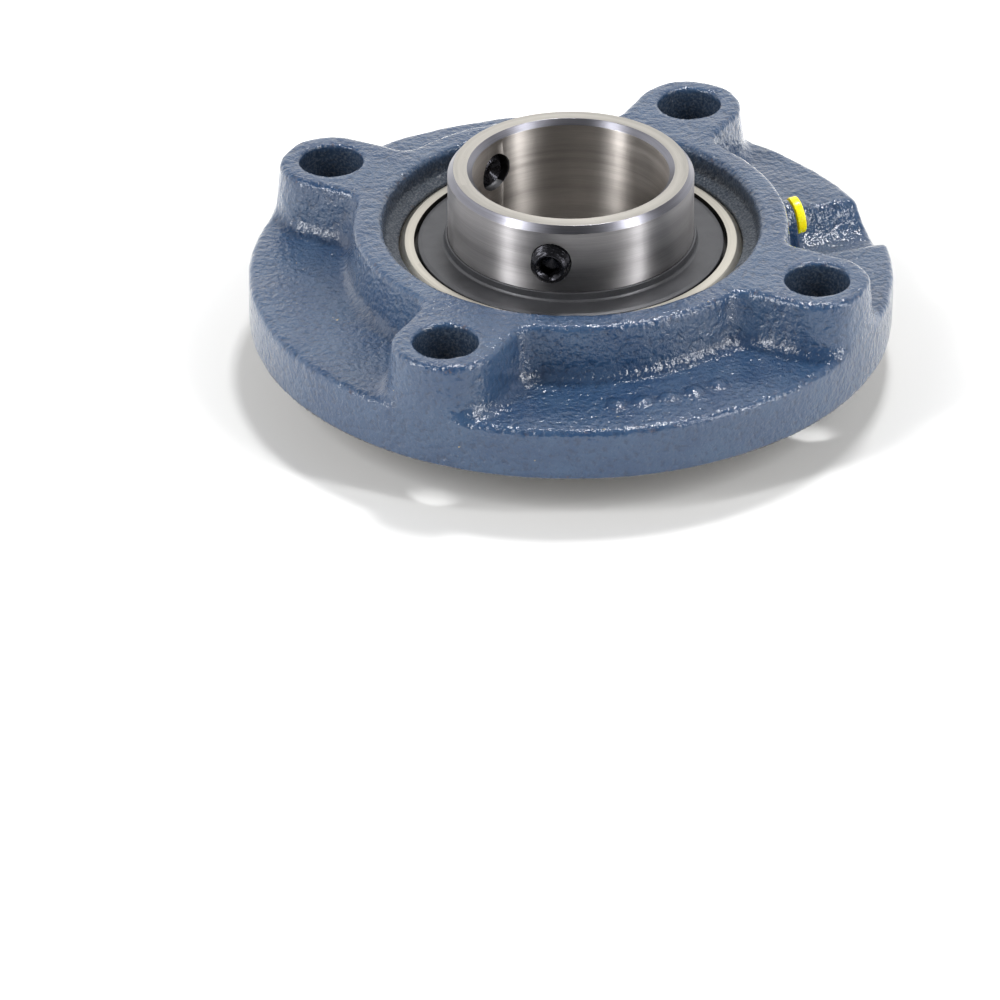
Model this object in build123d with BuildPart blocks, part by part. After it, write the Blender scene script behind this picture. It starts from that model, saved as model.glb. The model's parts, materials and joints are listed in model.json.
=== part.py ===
"""Round-flange cartridge bearing unit for a 50 mm shaft.

A cast housing with a spherical seat holds a wide-inner-ring ball bearing insert that can
swivel in the seat.  Z runs up the shaft axis and z = 0 is the machined mounting face.
All sizes are in millimetres.
"""

import os
from math import cos, radians, sin, sqrt, tan

from build123d import *

# ---------------------------------------------------------------- housing
flange_radius = 82.5
flange_thickness = 14.0
housing_height = 28.0  # mounting face to the top of the hub and the bolt bosses
spigot_radius = 55.0
spigot_length = 12.0
spigot_chamfer = 1.5
cavity_radius = 46.5  # clearance inside the spigot, behind the seat

hub_top_radius = 55.4
draft_angle = 7.0
hub_foot_z = 4.0  # the hub's drafted wall is carried down into the flange
opening_top_radius = 47.8
opening_foot_radius = 47.0
ledge_height = 1.2  # rough cast ledge that rises outwards from the seat's edge

bolt_count = 4
bolt_start_angle = 45.0
bolt_circle_radius = 69.0
bolt_hole_radius = 8.0
boss_radius = 13.5
arm_length = 17.0  # from the bolt's centre into the hub

top_fillet = 1.5

trough_radius = 12.6  # round-bottomed trough in front of the grease port
trough_floor_z = 7.5
trough_offset = -1.7  # the casting's trough lies a little to one side of the port
trough_start_x = 50.0

# ---------------------------------------------------------------- grease port and plug
port_tilt = 7.2  # the port climbs outwards by this angle
port_face_x = 60.1
port_face_z = 17.95
port_radius = 3.0
port_length = 20.0
pad_radius = 5.0
pad_length = 8.0
pad_drop = 12.0  # the pad runs down into the trough's floor
plug_head_radius = 4.8
plug_head_thickness = 2.2
plug_stem_radius = 2.95
plug_stem_length = 7.0
plug_head_fillet = 0.5

# ---------------------------------------------------------------- bearing insert
centre_z = 10.0  # centre of the spherical seat and of the balls
outer_sphere_radius = 45.0
seat_clearance = 0.05
outer_ring_width = 24.0
seat_half_width = 11.8
loading_slot_width = 24.6

inner_ring_rear = 19.0  # ball centre to the rear face
inner_ring_front = 32.6  # ball centre to the collar's face
bore_radius = 25.0
bore_chamfer = 1.33
collar_radius = 31.3
collar_chamfer_radial = 1.4
collar_chamfer_axial = 1.8
rear_chamfer = 0.8

ball_count = 10
ball_radius = 6.35
ball_circle_radius = 35.0
race_radius = 6.6  # cross section of both grooves
race_clearance = 0.05
outer_shoulder_radius = 38.8
mouth_radius = 39.9  # the outer ring's mouth, in front of the seal
face_chamfer = 1.1

grease_groove_offset = 6.0  # from the ball centre plane, in line with the port
grease_groove_width = 2.4
grease_groove_depth = 0.6
grease_hole_radius = 0.7
grease_hole_count = 3

cage_thickness = 0.8
cage_inner_radius = 33.2
cage_outer_radius = 36.8
cage_pocket_clearance = 0.25
rivet_radius = 0.9
rivet_clearance = 0.05
rivet_head_radius = 1.5
rivet_head_thickness = 0.6

seal_inner_z = 8.0  # offsets from the ball centre plane
seal_outer_z = 9.6
seal_seat_radius = 41.0
seal_core_thickness = 0.8
seal_core_inner_radius = 33.6
seal_rim_width = 0.8
lip_clearance = 0.06
lip_outer_radius = 35.2
lip_thickness = 0.7

slinger_inner_z = 10.9
slinger_outer_z = 11.9
slinger_radius = 39.0
slinger_sleeve_radius = 32.0
slinger_sleeve_end = 14.3

# ---------------------------------------------------------------- set screws
screw_offset = 22.6  # ball centre plane to the screws' plane
screw_angles = (-117.5, 122.5)
screw_radius = 5.0
screw_clearance = 0.05
screw_inner_end = 25.6
screw_outer_end = 34.5
screw_chamfer = 1.2
socket_across_flats = 5.0
socket_depth = 4.5
cup_radius = 2.6
cup_depth = 1.2
cup_angle = 45.0

os.makedirs("parts", exist_ok=True)

centre_plane = Plane.XY.offset(centre_z)
screw_planes = [
    Plane(
        origin=(0, 0, centre_z + screw_offset),
        x_dir=(0, 0, 1),
        z_dir=(cos(radians(angle)), sin(radians(angle)), 0),
    )
    for angle in screw_angles
]
port_plane = Plane(
    origin=(port_face_x, 0, port_face_z),
    x_dir=(0, 1, 0),
    z_dir=(cos(radians(port_tilt)), 0, sin(radians(port_tilt))),
)


def save(part, name):
    """Label a finished piece and write it under its node name."""
    part.label = name
    export_step(part, f"parts/{name}.step")


# ================================================================ housing
seat_radius = outer_sphere_radius + seat_clearance
seat_edge_radius = sqrt(seat_radius**2 - seat_half_width**2)
seat_front_z = centre_z + seat_half_width
seat_rear_z = centre_z - seat_half_width
wall_height = housing_height - hub_foot_z
spread = wall_height * tan(radians(draft_angle))  # how far the draft widens the walls
from_below = (Align.CENTER, Align.CENTER, Align.MIN)
from_above = (Align.CENTER, Align.CENTER, Align.MAX)

# Drafted hub with four arms that end in bolt bosses, cut off flush with the rim.
with BuildPart() as tower:
    with BuildSketch(Plane.XY.offset(hub_foot_z)):
        Circle(hub_top_radius + spread)
        with PolarLocations(bolt_circle_radius, bolt_count, start_angle=bolt_start_angle):
            Circle(boss_radius + spread)
            Rectangle(arm_length, 2 * (boss_radius + spread), align=(Align.MAX, Align.CENTER))
    extrude(amount=wall_height, taper=draft_angle)
    fillet(tower.faces().sort_by(Axis.Z)[-1].edges(), top_fillet)
    Cylinder(flange_radius, housing_height, align=from_below, mode=Mode.INTERSECT)

# The insert goes in sideways through two opposed slots in the rear half of the seat.
with BuildPart() as loading_slot:
    with Locations((0, 0, centre_z)):
        Cylinder(seat_radius, spigot_length + centre_z, align=from_above)
        Box(
            loading_slot_width,
            2 * seat_radius,
            spigot_length + centre_z,
            align=from_above,
            mode=Mode.INTERSECT,
        )

with BuildPart() as housing:
    # Flange disc with the trough that gives access to the grease port.
    Cylinder(flange_radius, flange_thickness, align=from_below)
    with BuildSketch(Plane.YZ.offset(trough_start_x)):
        with Locations((trough_offset, trough_floor_z + trough_radius)):
            Circle(trough_radius)
    extrude(amount=flange_radius - trough_start_x, mode=Mode.SUBTRACT)

    add(tower.part)

    # Pad on the hub wall that carries the grease port down to the trough's floor.
    with BuildSketch(port_plane):
        Circle(pad_radius)
        with Locations((0, -pad_drop / 2)):
            Rectangle(2 * pad_radius, pad_drop)
    extrude(amount=-pad_length)

    # Spigot that pilots the unit in the machine's wall.
    Cylinder(spigot_radius, spigot_length, align=from_above)
    chamfer(housing.faces().sort_by(Axis.Z)[0].edges(), spigot_chamfer)

    # Opening, ledge, spherical seat and the cavity behind it.
    with BuildSketch(Plane.XZ):
        with BuildLine():
            Polyline(
                (seat_edge_radius, seat_front_z),
                (opening_foot_radius, seat_front_z + ledge_height),
                (opening_top_radius, housing_height),
                (0, housing_height),
                (0, -spigot_length),
                (cavity_radius, -spigot_length),
                (cavity_radius, seat_rear_z),
                (seat_edge_radius, seat_rear_z),
            )
            ThreePointArc(
                (seat_edge_radius, seat_rear_z),
                (seat_radius, centre_z),
                (seat_edge_radius, seat_front_z),
            )
        make_face()
    revolve(axis=Axis.Z, mode=Mode.SUBTRACT)
    add(loading_slot.part, mode=Mode.SUBTRACT)

    # Bolt holes and grease port.
    with PolarLocations(bolt_circle_radius, bolt_count, start_angle=bolt_start_angle):
        Hole(bolt_hole_radius)
    with BuildSketch(port_plane):
        Circle(port_radius)
    extrude(amount=-port_length, mode=Mode.SUBTRACT)

save(housing.part, "housing")

# ================================================================ grease port plug
with BuildPart() as grease_port_plug:
    with BuildSketch(port_plane):
        Circle(plug_head_radius)
    extrude(amount=plug_head_thickness)
    fillet(grease_port_plug.faces().sort_by(Axis.X)[-1].edges(), plug_head_fillet)
    with BuildSketch(port_plane):
        Circle(plug_stem_radius)
    extrude(amount=-plug_stem_length)

save(grease_port_plug.part, "grease_port_plug")

# ================================================================ outer ring
outer_race_radius = ball_circle_radius + ball_radius + race_clearance
outer_race_centre = outer_race_radius - race_radius
outer_shoulder_z = sqrt(race_radius**2 - (outer_shoulder_radius - outer_race_centre) ** 2)
outer_half_width = outer_ring_width / 2
outer_face_radius = sqrt(outer_sphere_radius**2 - outer_half_width**2)
sphere_edge_z = outer_half_width - face_chamfer
sphere_edge_radius = sqrt(outer_sphere_radius**2 - sphere_edge_z**2)
groove_z = centre_z + grease_groove_offset
groove_radius = sqrt(outer_sphere_radius**2 - grease_groove_offset**2) - grease_groove_depth
outer_wall = outer_sphere_radius - outer_shoulder_radius

with BuildPart() as outer_ring:
    with BuildSketch(Plane.XZ):
        with BuildLine():
            for side in (-1, 1):
                Polyline(
                    (outer_shoulder_radius, centre_z + side * outer_shoulder_z),
                    (outer_shoulder_radius, centre_z + side * seal_inner_z),
                    (seal_seat_radius, centre_z + side * seal_inner_z),
                    (seal_seat_radius, centre_z + side * seal_outer_z),
                    (mouth_radius, centre_z + side * seal_outer_z),
                    (mouth_radius, centre_z + side * outer_half_width),
                    (outer_face_radius - face_chamfer, centre_z + side * outer_half_width),
                    (sphere_edge_radius, centre_z + side * sphere_edge_z),
                )
            ThreePointArc(
                (outer_shoulder_radius, centre_z - outer_shoulder_z),
                (outer_race_radius, centre_z),
                (outer_shoulder_radius, centre_z + outer_shoulder_z),
            )
            ThreePointArc(
                (sphere_edge_radius, centre_z - sphere_edge_z),
                (outer_sphere_radius, centre_z),
                (sphere_edge_radius, centre_z + sphere_edge_z),
            )
        make_face()
        # Grease groove in line with the housing's port.
        with Locations((outer_sphere_radius, groove_z)):
            Rectangle(
                2 * (outer_sphere_radius - groove_radius),
                grease_groove_width,
                mode=Mode.SUBTRACT,
            )
    revolve(axis=Axis.Z)
    # Holes that let the grease through to the balls.
    with PolarLocations(0, grease_hole_count):
        with Locations(Location((outer_shoulder_radius + outer_wall / 2, 0, groove_z), (0, 90, 0))):
            Cylinder(grease_hole_radius, 1.5 * outer_wall, mode=Mode.SUBTRACT)

save(outer_ring.part, "outer_ring")

# ================================================================ inner ring
inner_race_radius = ball_circle_radius - ball_radius - race_clearance
inner_race_centre = inner_race_radius + race_radius
inner_shoulder_z = sqrt(race_radius**2 - (inner_race_centre - collar_radius) ** 2)
front_z = centre_z + inner_ring_front
rear_z = centre_z - inner_ring_rear

with BuildPart() as inner_ring:
    with BuildSketch(Plane.XZ):
        with BuildLine():
            Polyline(
                (collar_radius, centre_z + inner_shoulder_z),
                (collar_radius, front_z - collar_chamfer_axial),
                (collar_radius - collar_chamfer_radial, front_z),
                (bore_radius + bore_chamfer, front_z),
                (bore_radius, front_z - bore_chamfer),
                (bore_radius, rear_z + bore_chamfer),
                (bore_radius + bore_chamfer, rear_z),
                (collar_radius - rear_chamfer, rear_z),
                (collar_radius, rear_z + rear_chamfer),
                (collar_radius, centre_z - inner_shoulder_z),
            )
            ThreePointArc(
                (collar_radius, centre_z - inner_shoulder_z),
                (inner_race_radius, centre_z),
                (collar_radius, centre_z + inner_shoulder_z),
            )
        make_face()
    revolve(axis=Axis.Z)
    # Threaded holes for the set screws, at the thread's outer diameter.
    for plane in screw_planes:
        with BuildSketch(plane.offset(bore_radius / 2)):
            Circle(screw_radius)
        extrude(amount=collar_radius - bore_radius / 2 + screw_radius, mode=Mode.SUBTRACT)

save(inner_ring.part, "inner_ring")

# ================================================================ balls and cage
for number in range(ball_count):
    with BuildPart() as ball:
        with Locations((0, 0, centre_z)):
            with PolarLocations(
                ball_circle_radius, 1, start_angle=number * 360 / ball_count
            ):
                Sphere(ball_radius)
    save(ball.part, f"ball_{number + 1:02d}")

pocket_radius = ball_radius + cage_pocket_clearance
pocket_outer_radius = pocket_radius + cage_thickness
rivet_start_angle = 180 / ball_count

# Front half of the ribbon cage: cups over the balls, joined by flat webs.
with BuildPart() as cage_front:
    with Locations((0, 0, centre_z)):
        with PolarLocations(ball_circle_radius, ball_count):
            Sphere(pocket_outer_radius)
        Cylinder(
            cage_outer_radius, pocket_outer_radius, align=from_below, mode=Mode.INTERSECT
        )
    with BuildSketch(centre_plane):
        Circle(cage_outer_radius)
    extrude(amount=cage_thickness)
    with Locations((0, 0, centre_z)):
        Cylinder(cage_inner_radius, pocket_outer_radius, align=from_below, mode=Mode.SUBTRACT)
        with PolarLocations(ball_circle_radius, ball_count):
            Sphere(pocket_radius, mode=Mode.SUBTRACT)
    with BuildSketch(centre_plane):
        with PolarLocations(ball_circle_radius, ball_count, start_angle=rivet_start_angle):
            Circle(rivet_radius + rivet_clearance)
    extrude(amount=cage_thickness, mode=Mode.SUBTRACT)

save(cage_front.part, "cage_front")

with BuildPart() as cage_rear:
    mirror(cage_front.part, about=centre_plane)

save(cage_rear.part, "cage_rear")

# Rivets through the webs, each with two heads.
with BuildPart() as cage_rivets:
    with BuildSketch(centre_plane):
        with PolarLocations(ball_circle_radius, ball_count, start_angle=rivet_start_angle):
            Circle(rivet_radius)
    extrude(amount=cage_thickness, both=True)
    for side in (-1, 1):
        with BuildSketch(centre_plane.offset(side * cage_thickness)):
            with PolarLocations(
                ball_circle_radius, ball_count, start_angle=rivet_start_angle
            ):
                Circle(rivet_head_radius)
        extrude(amount=side * rivet_head_thickness)

save(cage_rivets.part, "cage_rivets")

# ================================================================ seals and slingers
lip_radius = collar_radius + lip_clearance
core_outer_z = seal_inner_z + seal_core_thickness
lip_outer_z = core_outer_z + lip_thickness
lip_throat_radius = lip_radius + lip_thickness

# Steel core pressed into the outer ring, with its rim turned up in the seat.
with BuildPart() as seal_front_core:
    with BuildSketch(Plane.XZ):
        with BuildLine():
            Polyline(
                (seal_core_inner_radius, centre_z + seal_inner_z),
                (seal_seat_radius, centre_z + seal_inner_z),
                (seal_seat_radius, centre_z + seal_outer_z),
                (seal_seat_radius - seal_rim_width, centre_z + seal_outer_z),
                (seal_seat_radius - seal_rim_width, centre_z + core_outer_z),
                (seal_core_inner_radius, centre_z + core_outer_z),
                close=True,
            )
        make_face()
    revolve(axis=Axis.Z)

# Rubber lip on the core's inner edge, running on the inner ring.
with BuildPart() as seal_front_lip:
    with BuildSketch(Plane.XZ):
        with BuildLine():
            Polyline(
                (lip_radius, centre_z + seal_inner_z + lip_thickness / 2),
                (lip_throat_radius, centre_z + seal_inner_z),
                (seal_core_inner_radius, centre_z + seal_inner_z),
                (seal_core_inner_radius, centre_z + core_outer_z),
                (lip_outer_radius, centre_z + core_outer_z),
                (lip_outer_radius, centre_z + lip_outer_z),
                (lip_throat_radius, centre_z + lip_outer_z),
                (lip_radius, centre_z + core_outer_z),
                close=True,
            )
        make_face()
    revolve(axis=Axis.Z)

# Steel slinger pressed on the inner ring, with a sleeve turned outwards along it.
with BuildPart() as slinger_front:
    with BuildSketch(Plane.XZ):
        with BuildLine():
            Polyline(
                (collar_radius, centre_z + slinger_inner_z),
                (slinger_radius, centre_z + slinger_inner_z),
                (slinger_radius, centre_z + slinger_outer_z),
                (slinger_sleeve_radius, centre_z + slinger_outer_z),
                (slinger_sleeve_radius, centre_z + slinger_sleeve_end),
                (collar_radius, centre_z + slinger_sleeve_end),
                close=True,
            )
        make_face()
    revolve(axis=Axis.Z)

# The rear side carries the same three rings, mirrored.
for kind, front in (
    ("seal_{}_core", seal_front_core),
    ("seal_{}_lip", seal_front_lip),
    ("slinger_{}", slinger_front),
):
    with BuildPart() as rear:
        mirror(front.part, about=centre_plane)
    save(front.part, kind.format("front"))
    save(rear.part, kind.format("rear"))

# ================================================================ set screws
for number, plane in enumerate(screw_planes, 1):
    with BuildPart() as set_screw:
        with BuildSketch(plane.offset(screw_inner_end)):
            Circle(screw_radius - screw_clearance)
        extrude(amount=screw_outer_end - screw_inner_end)
        ends = set_screw.faces().sort_by(Axis(plane.origin, plane.z_dir))
        chamfer(ends[0].edges() + ends[-1].edges(), screw_chamfer)
        # Cup point towards the shaft, hexagon socket outwards.
        with BuildSketch(plane.offset(screw_inner_end)):
            Circle(cup_radius)
        extrude(amount=cup_depth, taper=cup_angle, mode=Mode.SUBTRACT)
        with BuildSketch(plane.offset(screw_outer_end)):
            RegularPolygon(socket_across_flats / 2, 6, major_radius=False)
        extrude(amount=-socket_depth, mode=Mode.SUBTRACT)
    save(set_screw.part, f"set_screw_{number}")
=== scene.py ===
"""The looks of the flange mount bearing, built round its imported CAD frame.

Shapes are worked out in millimetres, as the part's own sizes are, and turned into metres when
a mesh is made.  Z runs up the shaft axis and z = 0 is the machined mounting face.
"""

import json
from math import acos, atan2, cos, hypot, pi, radians, sin, sqrt, tan

import bpy
import numpy as np
from mathutils import Matrix, Vector


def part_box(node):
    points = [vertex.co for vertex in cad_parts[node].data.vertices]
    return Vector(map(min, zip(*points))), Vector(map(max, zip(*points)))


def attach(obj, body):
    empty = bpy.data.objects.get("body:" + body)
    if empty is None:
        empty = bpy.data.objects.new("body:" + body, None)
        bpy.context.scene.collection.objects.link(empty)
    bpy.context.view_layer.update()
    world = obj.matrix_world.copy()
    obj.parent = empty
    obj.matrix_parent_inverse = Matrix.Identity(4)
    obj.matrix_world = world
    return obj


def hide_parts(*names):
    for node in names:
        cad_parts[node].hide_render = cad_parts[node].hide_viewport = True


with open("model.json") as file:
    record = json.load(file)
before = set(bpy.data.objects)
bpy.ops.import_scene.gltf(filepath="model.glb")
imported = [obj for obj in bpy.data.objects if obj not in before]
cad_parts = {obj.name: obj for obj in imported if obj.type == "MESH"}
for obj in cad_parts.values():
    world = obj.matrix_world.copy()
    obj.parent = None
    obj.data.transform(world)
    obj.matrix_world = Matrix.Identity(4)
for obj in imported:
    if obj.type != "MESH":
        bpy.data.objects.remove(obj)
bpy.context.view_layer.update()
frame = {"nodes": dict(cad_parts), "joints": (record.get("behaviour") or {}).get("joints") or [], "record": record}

MM = 1000.0

# ---------------------------------------------------------------- sizes, in millimetres
# Read from the frame.
housing_low, housing_high = [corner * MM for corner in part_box("housing")]
inner_low, inner_high = [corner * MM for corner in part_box("inner_ring")]
outer_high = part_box("outer_ring")[1] * MM
slinger_low, slinger_high = [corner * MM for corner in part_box("slinger_front")]
core_low, core_high = [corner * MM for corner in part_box("seal_front_core")]
lip_low, lip_high = [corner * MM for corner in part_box("seal_front_lip")]
mounts = {mount["name"]: mount for mount in frame["record"]["mounts"]}
joints = {joint["name"]: joint for joint in frame["joints"]}

flange_radius = housing_high.x
top_z = housing_high.z
spigot_z = housing_low.z
bolt_circle_radius = mounts["mounting_bolts"]["dims"]["pcd_mm"] / 2
bolt_count = mounts["mounting_bolts"]["dims"]["count"]
bolt_hole_radius = mounts["mounting_bolts"]["dims"]["hole_r_mm"]
spigot_radius = mounts["pilot_spigot"]["dims"]["r_mm"]
bore_radius = mounts["shaft_bore"]["dims"]["r_mm"]
centre_z = joints["self_align"]["pos_m"][2] * MM
collar_radius = inner_high.x
front_z = inner_high.z
rear_z = inner_low.z
ball_circle_radius = hypot(*joints["ball_01_roll"]["pos_m"][:2]) * MM
ball_radius = (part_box("ball_01")[1].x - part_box("ball_01")[0].x) * MM / 2

# Chosen for the casting.
flange_top_z = 14.0
bolt_start_angle = 45.0
boss_radius = 13.5
hub_top_radius = 55.4
draft = radians(7.0)
arm_start_radius = 52.0
corner_fillet = 3.0
corner_growth = 0.32
foot_fillet = 2.8
top_rounding = 1.5
rim_rounding = 2.0
hole_rounding = 0.7
opening_rounding = 1.6
opening_radius = 47.0
opening_slope = 0.16
ledge_radius = 43.5
ledge_z = 21.8
ledge_slope = 0.34
seat_radius = 45.05
seat_rear_z = -1.8
cavity_radius = 46.5
loading_slot_width = 24.6
spigot_chamfer = 1.5
trough_radius = 12.6
trough_floor_z = 7.5
trough_offset = -1.7
trough_start_x = 50.0
trough_edge_rounding = 2.0
pad_radius = 5.0
pad_length = 8.0
port_radius = 3.0
port_face = Vector((60.1, 0.0, 17.95))
port_direction = Vector(joints["plug_pull"]["axis"]).normalized()
port_up = Vector((-port_direction.z, 0.0, port_direction.x))


# ---------------------------------------------------------------- shaping with fields
def join(a, b, fillet=0.0):
    """Field of two solids together, with a round fillet where they meet."""
    near = np.hypot(np.maximum(fillet - a, 0), np.maximum(fillet - b, 0))
    return np.maximum(fillet, np.minimum(a, b)) - near if np.any(fillet) else np.minimum(a, b)


def common(a, b, rounding=0.0):
    """Field of what two solids share, with its edge rounded."""
    return -join(-a, -b, rounding)


def cut(a, b, rounding=0.0):
    """Field of solid a with solid b taken out, with the edge rounded."""
    return -join(-a, b, rounding)


def lattice_noise(points, size, seed):
    """Smooth seeded noise from 0 to 1, with bumps of about the given size."""
    table = np.random.default_rng(seed).random((32, 32, 32))
    place = points / size
    cell = np.floor(place).astype(int)
    part = place - cell
    part = part * part * (3 - 2 * part)
    value = np.zeros(len(points))
    for corner in np.ndindex(2, 2, 2):
        weight = np.prod(np.where(corner, part, 1 - part), axis=1)
        value += weight * table[tuple(((cell + corner) % 32).T)]
    return value


def housing_field(points):
    """Distance from the cast housing's surface, below zero inside."""
    x, y, z = points.T
    r = np.hypot(x, y)

    # Hub and arms, drawn in plan and drafted outwards towards the flange.
    plan = r - hub_top_radius
    corner = corner_fillet + (top_z - z) * corner_growth
    holes = []
    for number in range(bolt_count):
        angle = radians(bolt_start_angle + number * 360 / bolt_count)
        along = x * cos(angle) + y * sin(angle)
        across = y * cos(angle) - x * sin(angle)
        nearest = np.clip(along, arm_start_radius, bolt_circle_radius)
        plan = join(plan, np.hypot(along - nearest, across) - boss_radius, corner)
        holes.append(np.hypot(along - bolt_circle_radius, across) - bolt_hole_radius)
    tower = (plan - (top_z - z) * tan(draft)) * cos(draft)

    # Pad that carries the grease port.
    offset_x, offset_z = x - port_face.x, z - port_face.z
    out = offset_x * port_direction.x + offset_z * port_direction.z
    up = offset_x * port_up.x + offset_z * port_up.z
    pad = np.hypot(y, np.maximum(up, 0)) - pad_radius
    pad = common(common(pad, out, 0.8), -out - pad_length)
    tower = join(tower, pad, 1.6)
    tower = common(tower, z - top_z, top_rounding)

    # Flange with its trough, then the rim that cuts everything off.
    trough = np.hypot(y - trough_offset, z - trough_floor_z - trough_radius) - trough_radius
    trough = np.maximum(trough, trough_start_x - x)
    ground = cut(z - flange_top_z, trough, trough_edge_rounding)
    ground = join(ground, tower, foot_fillet)
    for azimuth, radius, size, height in cast_marks:
        mark_x, mark_y = radius * cos(radians(azimuth)), radius * sin(radians(azimuth))
        bump = np.sqrt((x - mark_x) ** 2 + (y - mark_y) ** 2 + (z - flange_top_z + size - height) ** 2)
        ground = join(ground, bump - size, 0.5)
    ground = common(ground, r - flange_radius, rim_rounding)
    ground = common(ground, -z, 0.8)

    # Spigot on the mounting face.
    spigot = common(r - spigot_radius, spigot_z - z, 0.6)
    chamfer = (r - spigot_radius + spigot_chamfer + spigot_z - z) / sqrt(2)
    spigot = common(common(spigot, chamfer), z - 1)
    solid = join(ground, spigot, 0.3)

    # Opening, seat, cavity, loading slots, bolt holes and port.
    ledge = (ledge_z + (r - ledge_radius) * ledge_slope - z) / hypot(1, ledge_slope)
    wall = r - opening_radius - (z - ledge_z) * opening_slope
    solid = cut(solid, np.maximum(ledge, wall), opening_rounding)
    seat = np.hypot(r, z - centre_z) - seat_radius
    cavity = np.maximum(r - cavity_radius, z - seat_rear_z)
    slots = np.maximum(np.abs(x) - loading_slot_width / 2, r - seat_radius)
    slots = np.maximum(slots, z - centre_z)
    solid = cut(solid, np.minimum(np.minimum(seat, cavity), slots), 0.3)
    for hole in holes:
        solid = cut(solid, hole, hole_rounding)
    port = np.maximum(np.hypot(y, up) - port_radius, -out - 20)
    return cut(solid, port, 0.3)


def field_gradient(field, points, step=0.02):
    """Unit outward direction of a field, from four samples round each point."""
    total = np.zeros_like(points)
    for corner in ((1, -1, -1), (-1, -1, 1), (-1, 1, -1), (1, 1, 1)):
        total += np.outer(field(points + np.array(corner) * step), corner)
    return total / np.maximum(np.linalg.norm(total, axis=1, keepdims=True), 1e-9)


def settle(points, field, steps):
    """Move points onto the surface of a field."""
    for _ in range(steps):
        move = np.clip(field(points), -0.6, 0.6)
        points = points - field_gradient(field, points) * move[:, None]
    return points


def bend_of(field, points, reach):
    """How much the surface bulges (above zero) or hollows (below) within a reach."""
    total = -6 * field(points)
    for axis in np.eye(3):
        total += field(points + axis * reach) + field(points - axis * reach)
    return total / reach


# ---------------------------------------------------------------- meshes
def make_object(name, points, faces, smooth_angle=40.0):
    """New object from points in millimetres, shaded smooth up to an angle."""
    mesh = bpy.data.meshes.new(name)
    mesh.from_pydata([tuple(point) for point in np.asarray(points, float) / MM], [], faces)
    mesh.update()
    mesh.shade_smooth()
    mesh.set_sharp_from_angle(angle=radians(smooth_angle))
    made = bpy.data.objects.new(name, mesh)
    bpy.context.scene.collection.objects.link(made)
    return made


def skin(name, rings, wrap=False, smooth_angle=40.0):
    """Surface through rings of equally many points: closed on itself, or capped at its ends."""
    rings = np.asarray(rings, float)
    rows, count = rings.shape[:2]
    faces = []
    for row in range(rows if wrap else rows - 1):
        low, high = row * count, (row + 1) % rows * count
        for k in range(count):
            following = (k + 1) % count
            faces.append((low + k, low + following, high + following, high + k))
    if not wrap:
        faces.append(tuple(reversed(range(count))))
        faces.append(tuple(range((rows - 1) * count, rows * count)))
    return make_object(name, rings.reshape(-1, 3), faces, smooth_angle)


def rounded(corners, steps=4):
    """Closed outline from corners (r, z, rounding), with an arc at each rounded one."""
    outline = []
    for number, (r, z, rounding) in enumerate(corners):
        here = Vector((r, z))
        before = Vector(corners[number - 1][:2]) - here
        after = Vector(corners[(number + 1) % len(corners)][:2]) - here
        if rounding == 0:
            outline.append((r, z))
            continue
        before.normalize()
        after.normalize()
        half = acos(max(-1.0, min(1.0, before.dot(after)))) / 2
        middle = here + (before + after).normalized() * rounding / sin(half)
        start = here + before * rounding / tan(half) - middle
        end = here + after * rounding / tan(half) - middle
        first = atan2(start.y, start.x)
        sweep = (atan2(end.y, end.x) - first + pi) % (2 * pi) - pi
        for step in range(steps + 1):
            angle = first + sweep * step / steps
            outline.append((middle.x + rounding * cos(angle), middle.y + rounding * sin(angle)))
    return outline


def arc(centre_r, centre_height, radius, first, last, steps=20):
    """Points of an arc in a section, as corners without rounding."""
    angles = np.radians(np.linspace(first, last, steps))
    return [(centre_r + radius * cos(a), centre_height + radius * sin(a), 0) for a in angles]


def lathe(name, outline, segments=240, smooth_angle=40.0):
    """Solid of revolution about Z from a closed outline of (r, z)."""
    turns = np.linspace(0, 2 * pi, segments, endpoint=False)
    rings = [
        [(r * cos(turn), r * sin(turn), z) for turn in turns] for r, z in outline
    ]
    return skin(name, rings, wrap=True, smooth_angle=smooth_angle)


def mirrored(outline):
    """The same section on the other side of the ball centre plane."""
    return [(r, 2 * centre_z - z) for r, z in reversed(outline)]


def apply_modifiers(piece):
    """Replace a piece's mesh with the result of its modifiers."""
    depsgraph = bpy.context.evaluated_depsgraph_get()
    mesh = bpy.data.meshes.new_from_object(piece.evaluated_get(depsgraph), depsgraph=depsgraph)
    piece.modifiers.clear()
    piece.data = mesh


def drill(piece, cutters):
    """Take the cutters out of a piece and delete them."""
    for cutter in cutters:
        modifier = piece.modifiers.new("drill", "BOOLEAN")
        modifier.operation = "DIFFERENCE"
        modifier.solver = "EXACT"
        modifier.object = cutter
    apply_modifiers(piece)
    for cutter in cutters:
        bpy.data.objects.remove(cutter)


def even_normals(piece):
    """Keep flat and cylindrical faces clean beside their small roundings."""
    modifier = piece.modifiers.new("normals", "WEIGHTED_NORMAL")
    modifier.keep_sharp = True
    modifier.weight = 80


def settle_in(piece, body, slot, material, *nodes):
    """Give a piece its body and any new material, and let it stand for its CAD nodes. The slot argument is not
    used.
    """
    if material is not None:
        piece.data.materials.clear()
        piece.data.materials.append(material)
    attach(piece, body)
    if nodes:
        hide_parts(*nodes)
    return piece


# ---------------------------------------------------------------- materials
def new_material(name, **sockets):
    """New material with one principled shader, its constant sockets set."""
    made = bpy.data.materials.new(name)
    made.use_nodes = True
    shader = made.node_tree.nodes["Principled BSDF"]
    for socket, value in sockets.items():
        shader.inputs[socket.replace("_", " ")].default_value = value
    return made, made.node_tree, shader


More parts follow.
